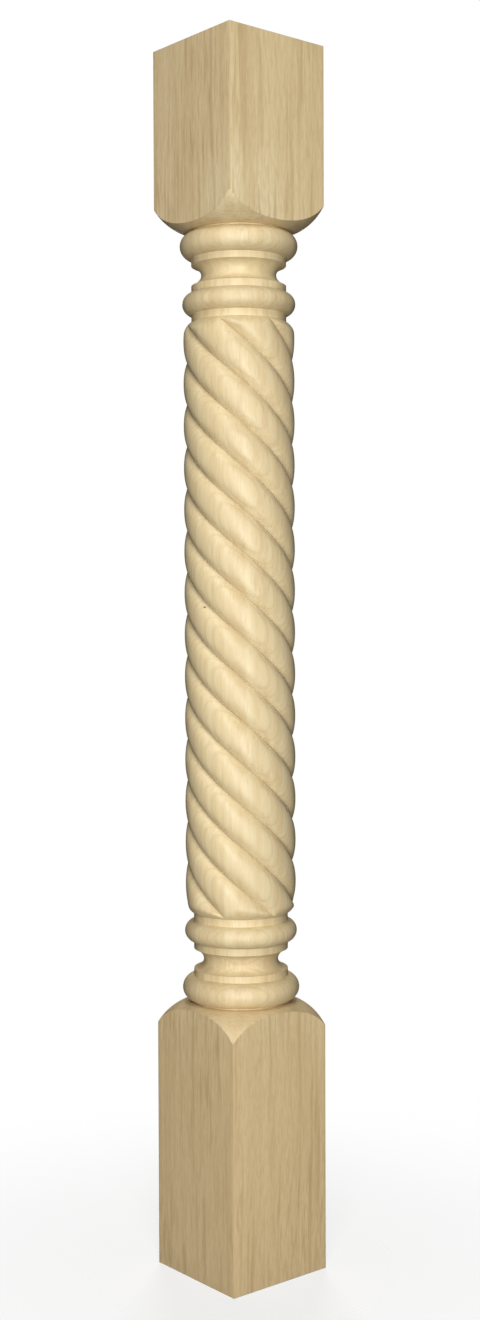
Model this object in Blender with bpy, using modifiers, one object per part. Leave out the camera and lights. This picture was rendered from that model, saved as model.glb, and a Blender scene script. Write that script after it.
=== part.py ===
"""Barley twist column: one length of square hardwood, turned between its two blocks and carved as a rope.

The column stands on its underside, with its axis on Z and its faces square to X and Y.
From the underside up it has a block, a pommel, a group of mouldings, the rope, the same group
turned over, a pommel and a shorter block. All sizes are metres.
"""
import math

import bmesh
import bpy

# The blank
COLUMN_HEIGHT = 0.9017
BLOCK_SIDE = 0.0889
ARRIS_RADIUS = 0.0005

# Heights of the blocks, from their square ends to the crown of the arch on each face
LOWER_BLOCK_HEIGHT = 0.1983
UPPER_BLOCK_HEIGHT = 0.1314

# The pommel is the round shoulder that cuts the arches. Its arc is centred inside the blank's corner.
POMMEL_ARC_RADIUS = 0.0381
POMMEL_CENTRE_FROM_CORNER = 0.0329

# The mouldings, in their order from a block to the rope
FILLET_RADIUS = 0.0349
NECK_HEIGHT = 0.0008
LARGE_BEAD_HEIGHT = 0.0186
LARGE_BEAD_RADIUS = 0.0433
BLOCK_FILLET_HEIGHT = 0.0048
SCOTIA_BLOCK_SIDE_HEIGHT = 0.0066
SCOTIA_ROPE_SIDE_HEIGHT = 0.0084
SCOTIA_THROAT_RADIUS = 0.0276
SCOTIA_SWEEP = math.radians(60.0)
ROPE_FILLET_HEIGHT = 0.0053
SMALL_BEAD_HEIGHT = 0.0159
SMALL_BEAD_RADIUS = 0.0416
END_FILLET_HEIGHT = 0.0052

# The rope turns left-handed as it rises
STRANDS = 6
ROPE_RADIUS = 0.0414
ROPE_LEAD = 0.1846
ROPE_END_ROUNDING = 0.0127
STRAND_ARC = math.radians(60.0)
FOOT_CREST_BEARING = math.radians(4.4)
GROOVE_ABOVE_FILLET = 0.0004

# Facets
TURNED_STEPS = 48
POMMEL_STEPS = 10
LARGE_BEAD_STEPS = 7
SMALL_BEAD_STEPS = 5
SCOTIA_SIDE_STEPS = 3
STRAND_STEPS = 6
ROPE_STEPS = 52
ROPE_END_STEPS = 5
ARRIS_STEPS = 2

MERGE_DISTANCE = 0.00001
CUTTER_MARGIN = 0.005
SMOOTH_ANGLE = math.radians(32.0)


def clear_scene():
    for obj in list(bpy.data.objects):
        bpy.data.objects.remove(obj, do_unlink=True)


def new_collection(name):
    collection = bpy.data.collections.new(name)
    bpy.context.scene.collection.children.link(collection)
    return collection


def link_mesh(name, bm, collection):
    mesh = bpy.data.meshes.new(name)
    bm.to_mesh(mesh)
    bm.free()
    obj = bpy.data.objects.new(name, mesh)
    collection.objects.link(obj)
    return obj


def make_cutter(obj):
    obj.hide_render = True
    obj.display_type = 'WIRE'
    return obj


def raw_hardwood():
    material = bpy.data.materials.new("raw_hardwood")
    material.use_nodes = True
    shader = material.node_tree.nodes["Principled BSDF"]
    shader.inputs["Base Color"].default_value = (0.66, 0.50, 0.30, 1.0)
    shader.inputs["Roughness"].default_value = 0.62
    shader.inputs["Metallic"].default_value = 0.0
    return material


def bulge(height, base, peak, steps):
    """Points (radius, rise) of one arc from base through peak and back to base, without its start."""
    half = height / 2
    rise = peak - base
    arc_radius = (half ** 2 + rise ** 2) / (2 * rise)
    centre = peak - arc_radius
    reach = math.atan2(half, base - centre)
    angles = [reach * (2 * i / steps - 1) for i in range(1, steps + 1)]
    return [(centre + arc_radius * math.cos(a), half + arc_radius * math.sin(a)) for a in angles]


def scotia():
    """Points (radius, rise) of the hollow: an elliptic arc down to the throat and another up again."""
    depth = FILLET_RADIUS - SCOTIA_THROAT_RADIUS
    turns = [SCOTIA_SWEEP * i / SCOTIA_SIDE_STEPS for i in range(SCOTIA_SIDE_STEPS + 1)]
    arc = [(SCOTIA_THROAT_RADIUS + depth * (1 - math.cos(a)) / (1 - math.cos(SCOTIA_SWEEP)),
            math.sin(a) / math.sin(SCOTIA_SWEEP)) for a in turns]
    down = [(radius, SCOTIA_BLOCK_SIDE_HEIGHT * (1 - share)) for radius, share in reversed(arc[:-1])]
    up = [(radius, SCOTIA_BLOCK_SIDE_HEIGHT + SCOTIA_ROPE_SIDE_HEIGHT * share)
          for radius, share in arc[1:]]
    return down + up


def pommel():
    """Points (radius, rise above the arch's crown) of the shoulder, from outside the blank to the neck."""
    corner = BLOCK_SIDE / math.sqrt(2)
    centre = corner - POMMEL_CENTRE_FROM_CORNER
    crown = math.sqrt(POMMEL_ARC_RADIUS ** 2 - (BLOCK_SIDE / 2 - centre) ** 2)
    start = math.pi / 2
    end = math.asin((FILLET_RADIUS - centre) / POMMEL_ARC_RADIUS)
    angles = [start + (end - start) * i / POMMEL_STEPS for i in range(POMMEL_STEPS + 1)]
    arc = [(centre + POMMEL_ARC_RADIUS * math.sin(a), POMMEL_ARC_RADIUS * math.cos(a) - crown)
           for a in angles]
    outside = max(corner, centre + POMMEL_ARC_RADIUS) + CUTTER_MARGIN
    return [(outside, arc[0][1])] + arc


def moulding_group():
    """Points (radius, rise above the arch's crown) from outside the blank to the rope's end."""
    points = pommel()
    parts = (
        [(FILLET_RADIUS, NECK_HEIGHT)],
        bulge(LARGE_BEAD_HEIGHT, FILLET_RADIUS, LARGE_BEAD_RADIUS, LARGE_BEAD_STEPS),
        [(FILLET_RADIUS, BLOCK_FILLET_HEIGHT)],
        scotia(),
        [(FILLET_RADIUS, ROPE_FILLET_HEIGHT)],
        bulge(SMALL_BEAD_HEIGHT, FILLET_RADIUS, SMALL_BEAD_RADIUS, SMALL_BEAD_STEPS),
        [(FILLET_RADIUS, END_FILLET_HEIGHT)],
    )
    for part in parts:
        level = points[-1][1]
        points += [(radius, level + rise) for radius, rise in part]
    return points


def lathe(name, profile, collection):
    """Turns a profile, given as (radius, z) from top to bottom, around the Z axis."""
    bm = bmesh.new()
    verts = [bm.verts.new((radius, 0.0, z)) for radius, z in profile]
    for upper, lower in zip(verts, verts[1:]):
        bm.edges.new((upper, lower))
    obj = link_mesh(name, bm, collection)
    screw = obj.modifiers.new("lathe", 'SCREW')
    screw.axis = 'Z'
    screw.angle = 2 * math.pi
    screw.steps = TURNED_STEPS
    screw.render_steps = TURNED_STEPS
    screw.use_merge_vertices = True
    screw.merge_threshold = MERGE_DISTANCE
    return make_cutter(obj)


def square_blank(collection):
    bm = bmesh.new()
    cube = bmesh.ops.create_cube(bm, size=1.0)
    bmesh.ops.scale(bm, vec=(BLOCK_SIDE, BLOCK_SIDE, COLUMN_HEIGHT), verts=cube["verts"])
    bmesh.ops.translate(bm, vec=(0.0, 0.0, COLUMN_HEIGHT / 2), verts=cube["verts"])
    arrises = [edge for edge in bm.edges if edge.verts[0].co.xy == edge.verts[1].co.xy]
    bmesh.ops.bevel(bm, geom=arrises, offset=ARRIS_RADIUS, offset_type='OFFSET', affect='EDGES',
                    segments=ARRIS_STEPS, profile=0.5, material=-1)
    return link_mesh("column", bm, collection)


def turning(collection):
    """The turned form that the blank is cut to. It stands clear of the blank over the blocks."""
    group = moulding_group()
    outside = group[0][0]
    upper = [(radius, COLUMN_HEIGHT - UPPER_BLOCK_HEIGHT - rise) for radius, rise in group]
    lower = [(radius, LOWER_BLOCK_HEIGHT + rise) for radius, rise in reversed(group)]
    top = COLUMN_HEIGHT + CUTTER_MARGIN
    profile = [(0.0, top), (outside, top)] + upper + lower
    profile += [(outside, -CUTTER_MARGIN), (0.0, -CUTTER_MARGIN)]
    return lathe("turning", profile, collection)


def rope_ends():
    """Heights of the two circles where the rope meets its end fillets."""
    group_height = moulding_group()[-1][1]
    return LOWER_BLOCK_HEIGHT + group_height, COLUMN_HEIGHT - UPPER_BLOCK_HEIGHT - group_height


def rope_outline(first_crest):
    """Level section of the rope. Each strand is an elliptic arc from groove to groove over its crest."""
    half = math.pi / STRANDS
    groove = FILLET_RADIUS + GROOVE_ABOVE_FILLET
    points = []
    for strand in range(STRANDS):
        crest = first_crest + 2 * half * strand
        for step in range(STRAND_STEPS):
            turn = STRAND_ARC * (2 * step / STRAND_STEPS - 1)
            lift = (math.cos(turn) - math.cos(STRAND_ARC)) / (1 - math.cos(STRAND_ARC))
            radius = groove + (ROPE_RADIUS - groove) * lift
            bearing = crest + half * math.sin(turn) / math.sin(STRAND_ARC)
            points.append((radius * math.cos(bearing), radius * math.sin(bearing)))
    return points


def rounded_barrel(collection):
    """The round body that the rope is carved from: straight, and rounded in to the fillets."""
    foot, head = rope_ends()
    arc_centre = ROPE_RADIUS - ROPE_END_ROUNDING
    fillet_turn = math.acos((FILLET_RADIUS - arc_centre) / ROPE_END_ROUNDING)
    core_turn = math.acos((FILLET_RADIUS - CUTTER_MARGIN - arc_centre) / ROPE_END_ROUNDING)
    inset = ROPE_END_ROUNDING * math.sin(fillet_turn)
    turns = [core_turn * i / ROPE_END_STEPS for i in range(ROPE_END_STEPS, -1, -1)]
    end = [(arc_centre + ROPE_END_ROUNDING * math.cos(a), ROPE_END_ROUNDING * math.sin(a) - inset)
           for a in turns]
    end = [(0.0, end[0][1])] + end + [(ROPE_RADIUS + CUTTER_MARGIN, -inset)]
    upper = [(radius, head + rise) for radius, rise in end]
    lower = [(radius, foot - rise) for radius, rise in reversed(end)]
    return lathe("barrel", upper + lower, collection)


def twist(collection):
    """The rope: its outline turned and raised together, closed at both ends."""
    foot, head = rope_ends()
    length = head - foot + 2 * CUTTER_MARGIN
    turn_per_metre = -2 * math.pi / ROPE_LEAD
    outline = rope_outline(FOOT_CREST_BEARING - CUTTER_MARGIN * turn_per_metre)
    bm = bmesh.new()
    ring = [bm.verts.new((x, y, foot - CUTTER_MARGIN)) for x, y in outline]
    edges = [bm.edges.new((a, b)) for a, b in zip(ring, ring[1:] + ring[:1])]
    bmesh.ops.spin(bm, geom=ring + edges, cent=(0.0, 0.0, 0.0), axis=(0.0, 0.0, 1.0),
                   dvec=(0.0, 0.0, length / ROPE_STEPS), angle=length * turn_per_metre,
                   steps=ROPE_STEPS, use_merge=False, use_duplicate=False)
    bmesh.ops.holes_fill(bm, edges=[edge for edge in bm.edges if edge.is_boundary], sides=0)
    bmesh.ops.recalc_face_normals(bm, faces=bm.faces)
    return make_cutter(link_mesh("twist", bm, collection))


def add_boolean(obj, operation, other):
    boolean = obj.modifiers.new(operation.lower(), 'BOOLEAN')
    boolean.operation = operation
    boolean.solver = 'EXACT'
    boolean.object = other


def settle(obj):
    """Replaces an object's mesh by its evaluated one, with the loose ends of the cuts welded."""
    depsgraph = bpy.context.evaluated_depsgraph_get()
    mesh = bpy.data.meshes.new_from_object(obj.evaluated_get(depsgraph))
    bm = bmesh.new()
    bm.from_mesh(mesh)
    bmesh.ops.remove_doubles(bm, verts=bm.verts, dist=MERGE_DISTANCE)
    bm.to_mesh(mesh)
    bm.free()
    obj.modifiers.clear()
    obj.data = mesh
    mesh.shade_smooth()
    mesh.set_sharp_from_angle(angle=SMOOTH_ANGLE)


def main():
    clear_scene()
    parts = new_collection("barley_twist_column")
    cutters = new_collection("cutters")
    rope = twist(cutters)
    add_boolean(rope, 'INTERSECT', rounded_barrel(cutters))
    column = square_blank(parts)
    add_boolean(column, 'INTERSECT', turning(cutters))
    add_boolean(column, 'UNION', rope)
    settle(column)
    column.data.materials.clear()
    column.data.materials.append(raw_hardwood())


main()
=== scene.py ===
"""Looks of the barley twist column: its carved surface in sanded pale hardwood, on a pale studio floor.

The fine surface is one closed skin. It starts as a spun blank whose rings and columns of points are
then set where the turner and the carver leave them. All sizes are metres.
"""
import math

import bmesh
import bpy
from mathutils import Matrix, Vector


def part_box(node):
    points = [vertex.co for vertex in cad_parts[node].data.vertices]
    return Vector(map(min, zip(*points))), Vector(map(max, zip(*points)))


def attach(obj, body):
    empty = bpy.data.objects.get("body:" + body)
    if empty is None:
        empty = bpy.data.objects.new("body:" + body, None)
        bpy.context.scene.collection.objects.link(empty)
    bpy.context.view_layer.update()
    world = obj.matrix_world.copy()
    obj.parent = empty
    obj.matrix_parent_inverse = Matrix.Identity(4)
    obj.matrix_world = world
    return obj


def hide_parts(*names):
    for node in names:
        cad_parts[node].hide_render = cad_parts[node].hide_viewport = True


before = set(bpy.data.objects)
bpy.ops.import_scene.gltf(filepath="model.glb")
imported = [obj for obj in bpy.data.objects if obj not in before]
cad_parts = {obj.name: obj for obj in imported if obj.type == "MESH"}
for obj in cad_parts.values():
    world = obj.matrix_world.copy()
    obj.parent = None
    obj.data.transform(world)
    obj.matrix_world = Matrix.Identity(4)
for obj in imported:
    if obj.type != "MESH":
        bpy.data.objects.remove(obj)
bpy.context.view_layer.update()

# Sizes of the column, which repeat those of the solid
UNDERSIDE, TOP = (corner.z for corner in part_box("column"))
BLOCK_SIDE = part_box("column")[1].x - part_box("column")[0].x
ARRIS_RADIUS = 0.0005
LOWER_BLOCK_HEIGHT = 0.1983
UPPER_BLOCK_HEIGHT = 0.1314
POMMEL_ARC_RADIUS = 0.0381
POMMEL_CENTRE_FROM_CORNER = 0.0329
FILLET_RADIUS = 0.0349
NECK_HEIGHT = 0.0008
LARGE_BEAD_HEIGHT = 0.0186
LARGE_BEAD_RADIUS = 0.0433
BLOCK_FILLET_HEIGHT = 0.0048
SCOTIA_BLOCK_SIDE_HEIGHT = 0.0066
SCOTIA_ROPE_SIDE_HEIGHT = 0.0084
SCOTIA_THROAT_RADIUS = 0.0276
SCOTIA_SWEEP = math.radians(60.0)
ROPE_FILLET_HEIGHT = 0.0053
SMALL_BEAD_HEIGHT = 0.0159
SMALL_BEAD_RADIUS = 0.0416
END_FILLET_HEIGHT = 0.0052
STRANDS = 6
ROPE_RADIUS = 0.0414
ROPE_LEAD = 0.1846
ROPE_END_ROUNDING = 0.0127
STRAND_ARC = math.radians(60.0)
FOOT_CREST_BEARING = math.radians(4.4)
GROOVE_RADIUS = 0.0353

# What the sander, the turning tool and the gouge leave
END_EASING = 0.0003
EDGE_EASING = 0.0003
GROOVE_RUN_OUT = 0.011
GROOVE_LIFT = 0.0022
CREST_BLEND = 0.0022

# Points of the skin
STRAND_COLUMNS = 28
COLUMNS = STRANDS * STRAND_COLUMNS
FACE_COLUMNS = COLUMNS // 4
ARRIS_COLUMNS = 2
END_RINGS = 5
BLOCK_RINGS = 24
POMMEL_RINGS = 16
LARGE_BEAD_RINGS = 22
SMALL_BEAD_RINGS = 18
SCOTIA_SIDE_RINGS = 9
ROPE_END_RINGS = 16
ROPE_RINGS = 206
MERGE_DISTANCE = 0.000001
SHARP_ANGLE = math.radians(21.0)

# The photograph's camera, fitted to the corners of the blocks and the outline of the rope
CAMERA_BEARING = math.radians(-39.55)
CAMERA_DISTANCE = 1.2559
CAMERA_HEIGHT = 0.4951
CAMERA_PITCH = math.radians(-1.878)
CAMERA_ROLL = math.radians(-0.201)
CAMERA_LENS = 46.24
CAMERA_NEAR = 0.05
SENSOR_LONG_SIDE = 36.0

# The wood. The pith ran behind the blank, so the years lie as upright sheets that face the camera. They bow
# back half-way up, as the trunk did, and are wide outside and narrow inside.
GRAIN_FACING = math.radians(231.5)
PITH_DISTANCE = 0.26
BOW = 0.021
BOW_MIDDLE = 0.42
BOW_HALF = 0.45
WANDER_SCALE = (6.0, 6.0, 4.5)
WANDER_DETAIL = 1.5
WANDER_REACH = (0.010, 0.010, 0.0)
WIDE_YEAR = 0.0056
NARROW_YEAR = 0.0027
NARROW_FROM = 0.006
NARROW_SOFTNESS = 0.006
YEAR_RHYTHM = 0.009
YEAR_UNEVENNESS = 0.9

# The late wood's line starts at this share of a year from the year's middle, and the faintest line has this
# share of the plainest one's strength
LATE_WOOD_FROM = 0.26
FAINTEST_YEAR = 0.2

# The patterns in the wood: cells in a metre along X, Y and Z, then the noise values between which each shows
BAND_SCALE = (120.0, 120.0, 3.0)
STREAK_SCALE = (250.0, 250.0, 5.0)
DASH_SCALE = (360.0, 360.0, 32.0)
FIBRE_SCALE = (1050.0, 1050.0, 130.0)
PORE_SCALE = (820.0, 820.0, 62.0)
CLOUD_SCALE = (16.0, 16.0, 9.0)
BAND_EDGES = (0.38, 0.64)
STREAK_EDGES = (0.55, 0.67)
DASH_EDGES = (0.50, 0.68)
FIBRE_EDGES = (0.42, 0.70)
PORE_EDGES = (0.58, 0.74)

# Dashes and pores are sparse in some places and dense in others, in soft clouds
DASH_CLOUD_EDGES = (0.40, 0.60)
PORE_CLOUD_EDGES = (0.42, 0.62)
DASH_DENSITIES = (0.20, 0.56)
PORE_DENSITIES = (0.1, 1.0)

# How strongly each pattern colours the wood. Of a pair, the first is for turned work and the second for the
# blocks' sawn faces.
BAND_STRENGTH = 0.50
YEAR_STRENGTHS = (0.22, 0.14)
STREAK_STRENGTHS = (0.06, 0.42)
DASH_STRENGTHS = (0.28, 1.0)
FIBRE_STRENGTHS = (0.08, 0.34)
PORE_STRENGTH = 0.22

CREAM = (0.752, 0.624, 0.374, 1.0)
TAN = (0.605, 0.445, 0.225, 1.0)
ROSY_TAN = (0.675, 0.450, 0.217, 1.0)
PAINTED_LIGHT_CREAM = (0.800, 0.685, 0.425, 1.0)
LATE_WOOD = (0.480, 0.325, 0.155, 1.0)
PORE_BROWN = (0.300, 0.200, 0.100, 1.0)
GROOVE_SHADE_GREY = (0.400, 0.345, 0.250, 1.0)
KNOT_BROWN = (0.120, 0.070, 0.030, 1.0)

# The wood is rosier at both ends. Each pair holds the heights between which that fades.
FOOT_FADES = (0.15, 0.25)
FOOT_ROSINESS = 0.44
HEAD_FADES = (0.755, 0.79)
HEAD_ROSINESS = 0.22

# Marks in one place: a painted pool of light on the upper block, and a pin knot that is wider than it is high
PAINTED_LIGHT_SPOT = (-0.030, -0.0445, 0.788)
PAINTED_LIGHT_REACH = 0.055
PAINTED_LIGHT_STRENGTH = 0.95
PIN_KNOT = (-0.0371, -0.0050, 0.4931)
PIN_KNOT_HEART = 0.0004
PIN_KNOT_RADIUS = 0.0016
PIN_KNOT_SQUASH = (1.0, 1.0, 1.6)
PIN_KNOT_STRENGTH = 0.9

# Painted shade in the bottom of the rope's grooves, the blocks' sawn faces, and painted shade darkening their
# arrises, which are also duller.
# The depths under a block's faces are where a mark starts and where it is whole.
GROOVE_SHADE_HEIGHT = 0.0020
GROOVE_SHADE_STRENGTH = 0.36
SAWN_DEPTHS = (0.0008, 0.0003)
ARRIS_SHADE_DEPTHS = (0.0012, 0.0004)
ARRIS_SHADE_STRENGTH = 0.62

# The sanded surface. Its roughness runs between two values as the fibre's noise does.
FIBRE_NOISE_RANGE = (0.3, 0.7)
FIBRE_ROUGHNESS = (0.40, 0.52)
HANDLED_ROUGHNESS = 0.30
WOOD_IOR = 1.5
RELIEF_HEIGHT = 0.0002
RELIEF_STRENGTH = 0.3
PORE_RELIEF = 0.5

# The studio. A soft box is given as (turn from the camera, height, power, whether it shows as gloss): three
# stand over and under the camera, and one straight behind the column lights its hidden side.
SOFT_BOXES = {
    "main_softbox": (math.radians(-2.0), 0.90, 12.2, True),
    "high_softbox": (math.radians(-1.0), 2.20, 13.6, True),
    "low_softbox": (0.0, 0.20, 14.8, True),
    "back_softbox": (math.pi, 0.90, 22.0, False),
}
SOFT_BOX_DISTANCE = 1.5
SOFT_BOX_SIDE = 0.7
WHITE = (1.0, 1.0, 1.0, 1.0)
SURROUNDINGS = 0.02
FLOOR_SIZE = 6.0
FLOOR_COLOUR = (0.86, 0.86, 0.86, 1.0)
FLOOR_ROUGHNESS = 0.9
FLOOR_FADES = (0.05, 0.45)
FLOOR_DEPTH = 0.30


def blend(a, b, share):
    """The value that lies a share of the way from a to b."""
    return a + (b - a) * share


def eased_share(share):
    """A share from 0 to 1 that starts and ends slowly."""
    share = min(max(share, 0.0), 1.0)
    return share * share * (3.0 - 2.0 * share)


def bulge(height, base, peak, steps):
    """Points (radius, rise) of one arc from base through peak and back to base, without its start."""
    half = height / 2
    rise = peak - base
    arc_radius = (half ** 2 + rise ** 2) / (2 * rise)
    centre = peak - arc_radius
    reach = math.atan2(half, base - centre)
    angles = [reach * (2 * i / steps - 1) for i in range(1, steps + 1)]
    return [(centre + arc_radius * math.cos(a), half + arc_radius * math.sin(a)) for a in angles]


def scotia(steps):
    """Points (radius, rise) of the hollow: an elliptic arc down to the throat and another up again."""
    depth = FILLET_RADIUS - SCOTIA_THROAT_RADIUS
    turns = [SCOTIA_SWEEP * i / steps for i in range(steps + 1)]
    arc = [(SCOTIA_THROAT_RADIUS + depth * (1 - math.cos(a)) / (1 - math.cos(SCOTIA_SWEEP)),
            math.sin(a) / math.sin(SCOTIA_SWEEP)) for a in turns]
    down = [(radius, SCOTIA_BLOCK_SIDE_HEIGHT * (1 - share)) for radius, share in reversed(arc[:-1])]
    up = [(radius, SCOTIA_BLOCK_SIDE_HEIGHT + SCOTIA_ROPE_SIDE_HEIGHT * share)
          for radius, share in arc[1:]]
    return down + up


def fillet(height):
    """Points (radius, rise) of a plain cylinder, with a ring close to each of its ends."""
    return [(FILLET_RADIUS, EDGE_EASING), (FILLET_RADIUS, height - EDGE_EASING), (FILLET_RADIUS, height)]


def mouldings():
    """Points (radius, rise above the arch's crown) from the neck to the rope's end."""
    points = [(FILLET_RADIUS, pommel_point(pommel_neck_turn())[1])]
    parts = (
        [(FILLET_RADIUS, NECK_HEIGHT)],
        bulge(LARGE_BEAD_HEIGHT, FILLET_RADIUS, LARGE_BEAD_RADIUS, LARGE_BEAD_RINGS),
        fillet(BLOCK_FILLET_HEIGHT),
        scotia(SCOTIA_SIDE_RINGS),
        fillet(ROPE_FILLET_HEIGHT),
        bulge(SMALL_BEAD_HEIGHT, FILLET_RADIUS, SMALL_BEAD_RADIUS, SMALL_BEAD_RINGS),
        fillet(END_FILLET_HEIGHT),
    )
    for part in parts:
        level = points[-1][1]
        points += [(radius, level + rise) for radius, rise in part]
    return points


def pommel_centre():
    return BLOCK_SIDE / math.sqrt(2) - POMMEL_CENTRE_FROM_CORNER


def pommel_turn(radius):
    """Turn from the vertical of the point of the pommel's arc that has this radius."""
    return math.asin((radius - pommel_centre()) / POMMEL_ARC_RADIUS)


def pommel_neck_turn():
    return pommel_turn(FILLET_RADIUS)


def pommel_point(turn):
    """Point (radius, rise above the arch's crown) of the pommel's arc."""
    crown = POMMEL_ARC_RADIUS * math.cos(pommel_turn(BLOCK_SIDE / 2))
    return (pommel_centre() + POMMEL_ARC_RADIUS * math.sin(turn), POMMEL_ARC_RADIUS * math.cos(turn) - crown)


def block_section(column, inset):
    """Point of a column on a block's level section, a square with round arrises; column 0 is on one."""
    side, step = divmod(column % COLUMNS, FACE_COLUMNS)
    arris = ARRIS_RADIUS - inset
    flat = BLOCK_SIDE / 2 - ARRIS_RADIUS
    along = (step - ARRIS_COLUMNS) / (FACE_COLUMNS - 2 * ARRIS_COLUMNS)
    rounded = min(step, ARRIS_COLUMNS) + max(step - FACE_COLUMNS + ARRIS_COLUMNS, 0)
    facing = math.pi / 4 * (1 + rounded / ARRIS_COLUMNS)
    centre = Vector((flat * (1 - 2 * min(max(along, 0.0), 1.0)), flat))
    point = centre + arris * Vector((math.cos(facing), math.sin(facing)))
    return Matrix.Rotation(math.pi / 2 * side, 2) @ point


def strand_radius(step):
    """Radius of the rope at a step across a strand, from groove to groove over the crest."""
    turn = STRAND_ARC * (2 * step / STRAND_COLUMNS - 1)
    lift = (math.cos(turn) - math.cos(STRAND_ARC)) / (1 - math.cos(STRAND_ARC))
    return GROOVE_RADIUS + (ROPE_RADIUS - GROOVE_RADIUS) * lift


def rope_bearing(column, rise):
    """Bearing of a column of the rope at a rise above the rope's foot. Column 0 is in a groove."""
    half = math.pi / STRANDS
    strand, step = divmod(column, STRAND_COLUMNS)
    turn = STRAND_ARC * (2 * step / STRAND_COLUMNS - 1)
    crest = FOOT_CREST_BEARING + half * 2 * (strand + 1) - 2 * math.pi * rise / ROPE_LEAD
    return crest + half * math.sin(turn) / math.sin(STRAND_ARC)


def rope_end_arc():
    """The arc that rounds the rope's ends: the radius at which its centre lies, and its height."""
    centre = ROPE_RADIUS - ROPE_END_ROUNDING
    return centre, math.sqrt(ROPE_END_ROUNDING ** 2 - (FILLET_RADIUS - centre) ** 2)


def barrel_radius(depth):
    """Radius of the turned body of the rope at a depth from its nearer end."""
    centre, inset = rope_end_arc()
    below = max(inset - depth, 0.0)
    return centre + math.sqrt(ROPE_END_ROUNDING ** 2 - below ** 2)


def smaller(a, b, width):
    """The smaller of two radii, with the edge between them rounded over a width."""
    if width <= 0.0 or abs(a - b) >= width:
        return min(a, b)
    return min(a, b) - (width - abs(a - b)) ** 2 / (4 * width)


def rope_levels(length):
    """Rises of the rope's rings, closer together where its ends are rounded."""
    inset = rope_end_arc()[1]
    foot = [inset * i / ROPE_END_RINGS for i in range(1, ROPE_END_RINGS)]
    middle = [inset + (length - 2 * inset) * i / ROPE_RINGS for i in range(ROPE_RINGS + 1)]
    head = [length - rise for rise in reversed(foot)]
    return foot + middle + head


ROPE_FOOT = UNDERSIDE + LOWER_BLOCK_HEIGHT + mouldings()[-1][1]
ROPE_HEAD = TOP - UPPER_BLOCK_HEIGHT - mouldings()[-1][1]


class Skin:
    """Where each ring and column of the column's surface lies."""

    def __init__(self):
        self.group = mouldings()
        pitch = 2 * math.pi / COLUMNS
        corner = math.pi / 4
        self.first_arris = {
            "lower": round((corner - rope_bearing(0, 0.0)) / pitch),
            "upper": round((corner - rope_bearing(0, ROPE_HEAD - ROPE_FOOT)) / pitch),
        }
        self.rings = self.list_rings()

    def list_rings(self):
        """Each ring is a function that gives the point of a column. They run from the underside up."""
        lower = self.end_rings("lower")
        upper = [self.upside_down(ring) for ring in reversed(self.end_rings("upper"))]
        rope = [self.rope_ring(rise) for rise in rope_levels(ROPE_HEAD - ROPE_FOOT)]
        return lower + rope + upper

    def end_rings(self, end):
        """Rings from the middle of a square end to the circle where the rope starts."""
        rings = [self.end_ring(end, i / END_RINGS) for i in range(END_RINGS + 1)]
        rings += [self.block_ring(end, i / BLOCK_RINGS) for i in range(BLOCK_RINGS + 1)]
        rings += [self.pommel_ring(end, i / POMMEL_RINGS) for i in range(1, POMMEL_RINGS)]
        rings += [self.turned_ring(end, radius, rise) for radius, rise in self.group]
        return rings

    def block_height(self, end):
        return LOWER_BLOCK_HEIGHT if end == "lower" else UPPER_BLOCK_HEIGHT

    def section(self, end, column, inset=0.0):
        return block_section(column - self.first_arris[end], inset)

    def end_ring(self, end, share):
        def point(column):
            spot = self.section(end, column, END_EASING) * share
            return Vector((spot.x, spot.y, 0.0))
        return point

    def block_ring(self, end, share):
        def point(column):
            spot = self.section(end, column)
            crease = pommel_point(pommel_turn(spot.length))[1] + self.block_height(end)
            return Vector((spot.x, spot.y, blend(END_EASING, crease, share)))
        return point

    def pommel_ring(self, end, share):
        def point(column):
            spot = self.section(end, column)
            turn = blend(pommel_turn(spot.length), pommel_neck_turn(), share)
            radius, rise = pommel_point(turn)
            spot = spot.normalized() * radius
            return Vector((spot.x, spot.y, self.block_height(end) + rise))
        return point

    def turned_ring(self, end, radius, rise):
        """A circle. Its columns swing from their places on the block to their places on the rope."""
        start, finish = self.group[0][1], self.group[-1][1]
        share = eased_share((rise - start) / (finish - start))
        climb = 0.0 if end == "lower" else ROPE_HEAD - ROPE_FOOT

        def point(column):
            spot = self.section(end, column)
            block = math.atan2(spot.y, spot.x)
            rope = rope_bearing(column, climb)
            swing = math.remainder(rope - block, 2 * math.pi)
            bearing = block + swing * share
            return Vector((radius * math.cos(bearing), radius * math.sin(bearing),
                           self.block_height(end) + rise))
        return point

    def rope_ring(self, rise):
        depth = min(rise, ROPE_HEAD - ROPE_FOOT - rise)
        width = min(CREST_BLEND, depth / 2)
        lift = GROOVE_LIFT * (1 - eased_share(depth / GROOVE_RUN_OUT))

        def point(column):
            radius = smaller(strand_radius(column % STRAND_COLUMNS) + lift, barrel_radius(depth), width)
            bearing = rope_bearing(column, rise)
            return Vector((radius * math.cos(bearing), radius * math.sin(bearing), ROPE_FOOT + rise))
        return point

    def upside_down(self, ring):
        def point(column):
            spot = ring(column)
            return Vector((spot.x, spot.y, TOP - spot.z))
        return point


def spun_blank(ring_count):
    """A closed spindle with a numbered ring of points for each ring of the skin."""
    bm = bmesh.new()
    number = bm.verts.layers.int.new("ring")
    wire = []
    for i in range(ring_count):
        at_pole = i in (0, ring_count - 1)
        vert = bm.verts.new((0.0 if at_pole else BLOCK_SIDE, 0.0, TOP * i / (ring_count - 1)))
        vert[number] = i
        wire.append(vert)
    edges = [bm.edges.new(pair) for pair in zip(wire, wire[1:])]
    bmesh.ops.spin(bm, geom=wire + edges, cent=(0.0, 0.0, 0.0), axis=(0.0, 0.0, 1.0), dvec=(0.0, 0.0, 0.0),
                   angle=2 * math.pi, steps=COLUMNS, use_merge=True, use_duplicate=False)
    bmesh.ops.remove_doubles(bm, verts=bm.verts, dist=MERGE_DISTANCE)
    return bm, number


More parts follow.
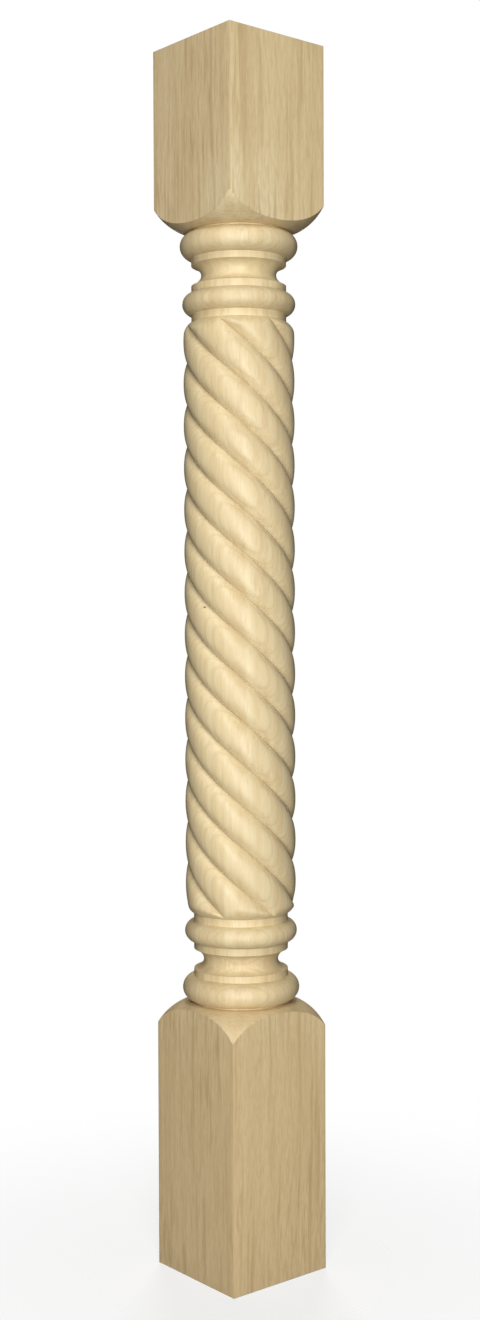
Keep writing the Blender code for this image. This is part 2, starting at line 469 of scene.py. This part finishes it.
def sort_faces(bm):
    """Puts the faces in the order of their points, because a merge leaves them in another order each run."""
    bm.verts.index_update()
    count = len(bm.verts)

    def place(face):
        numbers = [vert.index for vert in face.verts]
        return min(numbers) * count + max(numbers)

    bm.faces.sort(key=place)


def column_wood():
    """The whole column as one closed skin."""
    skin = Skin()
    bm, number = spun_blank(len(skin.rings))
    for vert in bm.verts:
        column = round(math.atan2(vert.co.y, vert.co.x) / (2 * math.pi) * COLUMNS) % COLUMNS
        vert.co = skin.rings[vert[number]](column)
    bmesh.ops.recalc_face_normals(bm, faces=bm.faces)
    sort_faces(bm)
    mesh = bpy.data.meshes.new("column_wood")
    bm.to_mesh(mesh)
    bm.free()
    mesh.shade_smooth()
    mesh.set_sharp_from_angle(angle=SHARP_ANGLE)
    piece = bpy.data.objects.new("column_wood", mesh)
    bpy.context.scene.collection.objects.link(piece)
    return piece


def new_material(name):
    material = bpy.data.materials.new(name)
    material.use_nodes = True
    return material, material.node_tree, material.node_tree.nodes["Principled BSDF"]


class Nodes:
    """Short ways to add and join the nodes of one material."""

    def __init__(self, tree):
        self.tree = tree

    def add(self, kind, **settings):
        node = self.tree.nodes.new("ShaderNode" + kind)
        for name, value in settings.items():
            setattr(node, name, value)
        return node

    def feed(self, socket, source):
        """Joins a socket to a source, or sets it where the source is a plain value."""
        if isinstance(source, bpy.types.NodeSocket):
            self.tree.links.new(source, socket)
        else:
            socket.default_value = source

    def math(self, operation, a, b=0.0, c=0.0):
        node = self.add("Math", operation=operation)
        for socket, source in zip(node.inputs, (a, b, c)):
            self.feed(socket, source)
        return node.outputs[0]

    def vector(self, operation, a, b=(0.0, 0.0, 0.0)):
        node = self.add("VectorMath", operation=operation)
        self.feed(node.inputs[0], a)
        self.feed(node.inputs[1], b)
        return node.outputs[0]

    def dot(self, a, b):
        node = self.add("VectorMath", operation='DOT_PRODUCT')
        self.feed(node.inputs[0], a)
        self.feed(node.inputs[1], b)
        return node.outputs["Value"]

    def length(self, a):
        node = self.add("VectorMath", operation='LENGTH')
        self.feed(node.inputs[0], a)
        return node.outputs["Value"]

    def axis(self, where, name):
        node = self.add("SeparateXYZ")
        self.feed(node.inputs[0], where)
        return node.outputs[name]

    def span(self, value, low, high, to_low=0.0, to_high=1.0, smooth=False):
        """Maps a value from one range to another and keeps it there."""
        node = self.add("MapRange", clamp=True, interpolation_type='SMOOTHSTEP' if smooth else 'LINEAR')
        for name, source in (("Value", value), ("From Min", low), ("From Max", high),
                             ("To Min", to_low), ("To Max", to_high)):
            self.feed(node.inputs[name], source)
        return node.outputs["Result"]

    def noise(self, where, scale, detail=2.0, roughness=0.5):
        """Noise on coordinates whose three axes are scaled one by one."""
        stretched = self.vector('MULTIPLY', where, scale)
        node = self.add("TexNoise", noise_dimensions='3D')
        self.feed(node.inputs["Vector"], stretched)
        node.inputs["Scale"].default_value = 1.0
        node.inputs["Detail"].default_value = detail
        node.inputs["Roughness"].default_value = roughness
        return node.outputs["Fac"]

    def mix(self, share, a, b):
        """The first colour, with a share of the second one in it."""
        node = self.add("Mix", data_type='RGBA', clamp_factor=True)
        self.feed(node.inputs["Factor"], share)
        self.feed(node.inputs[6], a)
        self.feed(node.inputs[7], b)
        return node.outputs[2]


def grain_place(n):
    """Where a point lies on the column, and where it lies once it has wandered a little as grain does."""
    where = n.add("TexCoord").outputs["Object"]
    drift = n.add("TexNoise", noise_dimensions='3D')
    n.feed(drift.inputs["Vector"], n.vector('MULTIPLY', where, WANDER_SCALE))
    drift.inputs["Scale"].default_value = 1.0
    drift.inputs["Detail"].default_value = WANDER_DETAIL
    centred = n.vector('SUBTRACT', drift.outputs["Color"], (0.5, 0.5, 0.5))
    return where, n.vector('ADD', where, n.vector('MULTIPLY', centred, WANDER_REACH))


def bark_depth(n, place):
    """Depth behind the rope's front, measured along the radius of the bowed tree."""
    toward = Vector((math.cos(GRAIN_FACING), math.sin(GRAIN_FACING), 0.0))
    across = Vector((-toward.y, toward.x, 0.0))
    up = n.math('DIVIDE', n.math('SUBTRACT', n.axis(place, "Z"), BOW_MIDDLE), BOW_HALF)
    bow = n.math('MULTIPLY', n.math('MULTIPLY', up, up), BOW)
    outward = n.math('SUBTRACT', n.math('ADD', n.dot(place, toward), PITH_DISTANCE), bow)
    from_pith = n.add("CombineXYZ")
    n.feed(from_pith.inputs["X"], outward)
    n.feed(from_pith.inputs["Y"], n.dot(place, across))
    radius = n.length(from_pith.outputs[0])
    return n.math('SUBTRACT', PITH_DISTANCE + ROPE_RADIUS, radius)


def late_wood(n, depth):
    """The soft dark line that ends each year, plain in some years and faint in others."""
    narrow = n.math('SMOOTH_MAX', n.math('SUBTRACT', depth, NARROW_FROM), 0.0, NARROW_SOFTNESS)
    years = n.math('ADD', n.math('DIVIDE', depth, WIDE_YEAR),
                   n.math('MULTIPLY', narrow, 1.0 / NARROW_YEAR - 1.0 / WIDE_YEAR))
    uneven = n.add("TexNoise", noise_dimensions='1D')
    n.feed(uneven.inputs["W"], n.math('DIVIDE', depth, YEAR_RHYTHM))
    uneven.inputs["Scale"].default_value = 1.0
    years = n.math('ADD', years, n.math('MULTIPLY', uneven.outputs["Fac"], YEAR_UNEVENNESS))
    from_middle = n.math('ABSOLUTE', n.math('SUBTRACT', n.math('FRACT', years), 0.5))
    line = n.span(from_middle, LATE_WOOD_FROM, 0.5, smooth=True)
    year = n.add("TexWhiteNoise", noise_dimensions='1D')
    n.feed(year.inputs["W"], n.math('ROUND', years))
    return n.math('MULTIPLY', line, n.span(year.outputs["Value"], 0.0, 1.0, FAINTEST_YEAR, 1.0))


def groove_painted_shade(n, where):
    """Where painted shade greys and darkens the bottom of the rope's grooves."""
    radius = n.length(n.vector('MULTIPLY', where, (1.0, 1.0, 0.0)))
    up = n.axis(where, "Z")
    inside = n.math('MULTIPLY', n.span(up, ROPE_FOOT, ROPE_FOOT + GROOVE_RUN_OUT),
                    n.span(up, ROPE_HEAD - GROOVE_RUN_OUT, ROPE_HEAD, 1.0, 0.0))
    return n.math('MULTIPLY', inside, n.span(radius, GROOVE_RADIUS, GROOVE_RADIUS + GROOVE_SHADE_HEIGHT, 1.0, 0.0))


def blocks(n, where):
    """Where the sawn faces of the blocks are, and where painted shade darkens their upright arrises, which
    are also made duller.
    """
    x, y = (n.math('ABSOLUTE', n.axis(where, name)) for name in "XY")
    sawn = n.span(n.math('MAXIMUM', x, y), *(BLOCK_SIDE / 2 - depth for depth in SAWN_DEPTHS))
    arris_shade_and_dull = n.span(n.math('MINIMUM', x, y), *(BLOCK_SIDE / 2 - depth for depth in ARRIS_SHADE_DEPTHS),
                     smooth=True)
    return sawn, arris_shade_and_dull


def ground_colour(n, where):
    """Cream, rosier towards both ends and paler in a painted pool of light on the upper block."""
    up = n.axis(where, "Z")
    foot = n.span(up, *FOOT_FADES, FOOT_ROSINESS, 0.0)
    head = n.span(up, *HEAD_FADES, 0.0, HEAD_ROSINESS)
    cream = n.mix(n.math('MAXIMUM', foot, head), CREAM, ROSY_TAN)
    # paler where a pool of light is painted on the upper block
    from_patch = n.length(n.vector('SUBTRACT', where, PAINTED_LIGHT_SPOT))
    pale = n.span(from_patch, 0.0, PAINTED_LIGHT_REACH, PAINTED_LIGHT_STRENGTH, 0.0, smooth=True)
    return n.mix(pale, cream, PAINTED_LIGHT_CREAM)


def pin_knot(n, where):
    """Where the pin knot is, dark in its heart and fading towards its rim."""
    away = n.length(n.vector('MULTIPLY', n.vector('SUBTRACT', where, PIN_KNOT), PIN_KNOT_SQUASH))
    return n.span(away, PIN_KNOT_HEART, PIN_KNOT_RADIUS, PIN_KNOT_STRENGTH, 0.0, smooth=True)


def sanded_hardwood():
    """Pale, fine, straight-grained hardwood. Every pattern is solid, so it turns to end grain by itself."""
    material, tree, shader = new_material("sanded_hardwood")
    n = Nodes(tree)
    where, place = grain_place(n)
    sawn, arris_shade_and_dull = blocks(n, where)
    clouds = n.noise(where, CLOUD_SCALE, detail=1.0)

    bands = n.noise(place, BAND_SCALE, detail=4.0, roughness=0.62)
    years = late_wood(n, bark_depth(n, place))
    streaks = n.span(n.noise(place, STREAK_SCALE, detail=1.0), *STREAK_EDGES)
    dashes = n.span(n.noise(place, DASH_SCALE, detail=2.0), *DASH_EDGES)
    dashes = n.math('MULTIPLY', dashes, n.span(clouds, *DASH_CLOUD_EDGES, *DASH_DENSITIES))
    fibre = n.noise(where, FIBRE_SCALE, detail=2.0, roughness=0.6)
    pores = n.span(n.noise(place, PORE_SCALE, detail=1.0), *PORE_EDGES)
    pores = n.math('MULTIPLY', pores, n.span(clouds, *PORE_CLOUD_EDGES, *PORE_DENSITIES))

    colour = n.mix(n.span(bands, *BAND_EDGES, 0.0, BAND_STRENGTH), ground_colour(n, where), TAN)
    figure = (
        (years, YEAR_STRENGTHS),
        (streaks, STREAK_STRENGTHS),
        (dashes, DASH_STRENGTHS),
        (n.span(fibre, *FIBRE_EDGES), FIBRE_STRENGTHS),
    )
    for pattern, strengths in figure:
        share = n.math('MULTIPLY', pattern, n.span(sawn, 0.0, 1.0, *strengths))
        colour = n.mix(share, colour, LATE_WOOD)
    marks = (
        (pores, PORE_STRENGTH, PORE_BROWN),
        # painted shade, greyer and darker, in the bottom of the rope's grooves
        (groove_painted_shade(n, where), GROOVE_SHADE_STRENGTH, GROOVE_SHADE_GREY),
        # painted shade along the blocks' upright arrises, hiding the light they catch
        (arris_shade_and_dull, ARRIS_SHADE_STRENGTH, LATE_WOOD),
    )
    for mark, strength, tint in marks:
        colour = n.mix(n.math('MULTIPLY', mark, strength), colour, tint)
    n.feed(shader.inputs["Base Color"], n.mix(pin_knot(n, where), colour, KNOT_BROWN))

    roughness = n.span(fibre, *FIBRE_NOISE_RANGE, *FIBRE_ROUGHNESS)
    dulled = n.math('MULTIPLY', arris_shade_and_dull, HANDLED_ROUGHNESS)
    n.feed(shader.inputs["Roughness"], n.math('ADD', roughness, dulled))
    shader.inputs["IOR"].default_value = WOOD_IOR
    relief = n.add("Bump")
    relief.inputs["Strength"].default_value = RELIEF_STRENGTH
    relief.inputs["Distance"].default_value = RELIEF_HEIGHT
    n.feed(relief.inputs["Height"], n.math('SUBTRACT', fibre, n.math('MULTIPLY', pores, PORE_RELIEF)))
    n.feed(shader.inputs["Normal"], relief.outputs[0])
    return material


def studio_floor():
    """A pale floor that fades into the pale surroundings far from the column."""
    bm = bmesh.new()
    bmesh.ops.create_grid(bm, x_segments=1, y_segments=1, size=FLOOR_SIZE)
    mesh = bpy.data.meshes.new("studio_floor")
    bm.to_mesh(mesh)
    bm.free()
    floor = bpy.data.objects.new("studio_floor", mesh)
    bpy.context.scene.collection.objects.link(floor)
    material, tree, shader = new_material("pale_floor")
    shader.inputs["Base Color"].default_value = FLOOR_COLOUR
    shader.inputs["Roughness"].default_value = FLOOR_ROUGHNESS
    n = Nodes(tree)
    away = n.length(n.add("TexCoord").outputs["Object"])
    n.feed(shader.inputs["Alpha"], n.span(away, *FLOOR_FADES, FLOOR_DEPTH, 0.0, smooth=True))
    mesh.materials.append(material)
    floor.visible_diffuse = False
    return floor


def studio_world():
    """Surroundings that the camera sees as white, and that light the column only dimly."""
    world = bpy.data.worlds.new("pale_studio")
    world.use_nodes = True
    bpy.context.scene.world = world
    n = Nodes(world.node_tree)
    seen = world.node_tree.nodes["Background"]
    seen.inputs["Color"].default_value = WHITE
    ray = n.add("LightPath").outputs["Is Camera Ray"]
    n.feed(seen.inputs["Strength"], n.span(ray, 0.0, 1.0, SURROUNDINGS, 1.0))


def soft_box(name, turn, height, power, shows_as_gloss):
    """A square soft box aimed at the middle of the column, turned round it from the camera's bearing."""
    data = bpy.data.lights.new(name, 'AREA')
    data.shape = 'SQUARE'
    data.size = SOFT_BOX_SIDE
    data.energy = power
    light = bpy.data.objects.new(name, data)
    light.visible_glossy = shows_as_gloss
    bearing = CAMERA_BEARING + turn
    light.location = (SOFT_BOX_DISTANCE * math.sin(bearing), -SOFT_BOX_DISTANCE * math.cos(bearing), height)
    aim = Vector((0.0, 0.0, TOP / 2)) - light.location
    light.rotation_euler = aim.to_track_quat('-Z', 'Y').to_euler()
    bpy.context.scene.collection.objects.link(light)


def photo_camera():
    """The camera of the photograph: its place in plan, then its pitch and its roll."""
    data = bpy.data.cameras.new("camera")
    data.sensor_fit = 'AUTO'
    data.sensor_width = SENSOR_LONG_SIDE
    data.lens = CAMERA_LENS
    data.clip_start = CAMERA_NEAR
    camera = bpy.data.objects.new("camera", data)
    bearing = Matrix.Rotation(CAMERA_BEARING, 4, 'Z')
    pitch = Matrix.Rotation(math.pi / 2 + CAMERA_PITCH, 4, 'X')
    roll = Matrix.Rotation(CAMERA_ROLL, 4, 'Z')
    place = Matrix.Translation((CAMERA_DISTANCE * math.sin(CAMERA_BEARING),
                                -CAMERA_DISTANCE * math.cos(CAMERA_BEARING), CAMERA_HEIGHT))
    camera.matrix_world = place @ bearing @ pitch @ roll
    bpy.context.scene.collection.objects.link(camera)
    bpy.context.scene.camera = camera


column = column_wood()
column.data.materials.append(sanded_hardwood())
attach(column, "root")
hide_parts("column")

studio_floor()
studio_world()
for name, settings in SOFT_BOXES.items():
    soft_box(name, *settings)
photo_camera()
bpy.context.scene.view_settings.view_transform = 'Standard'
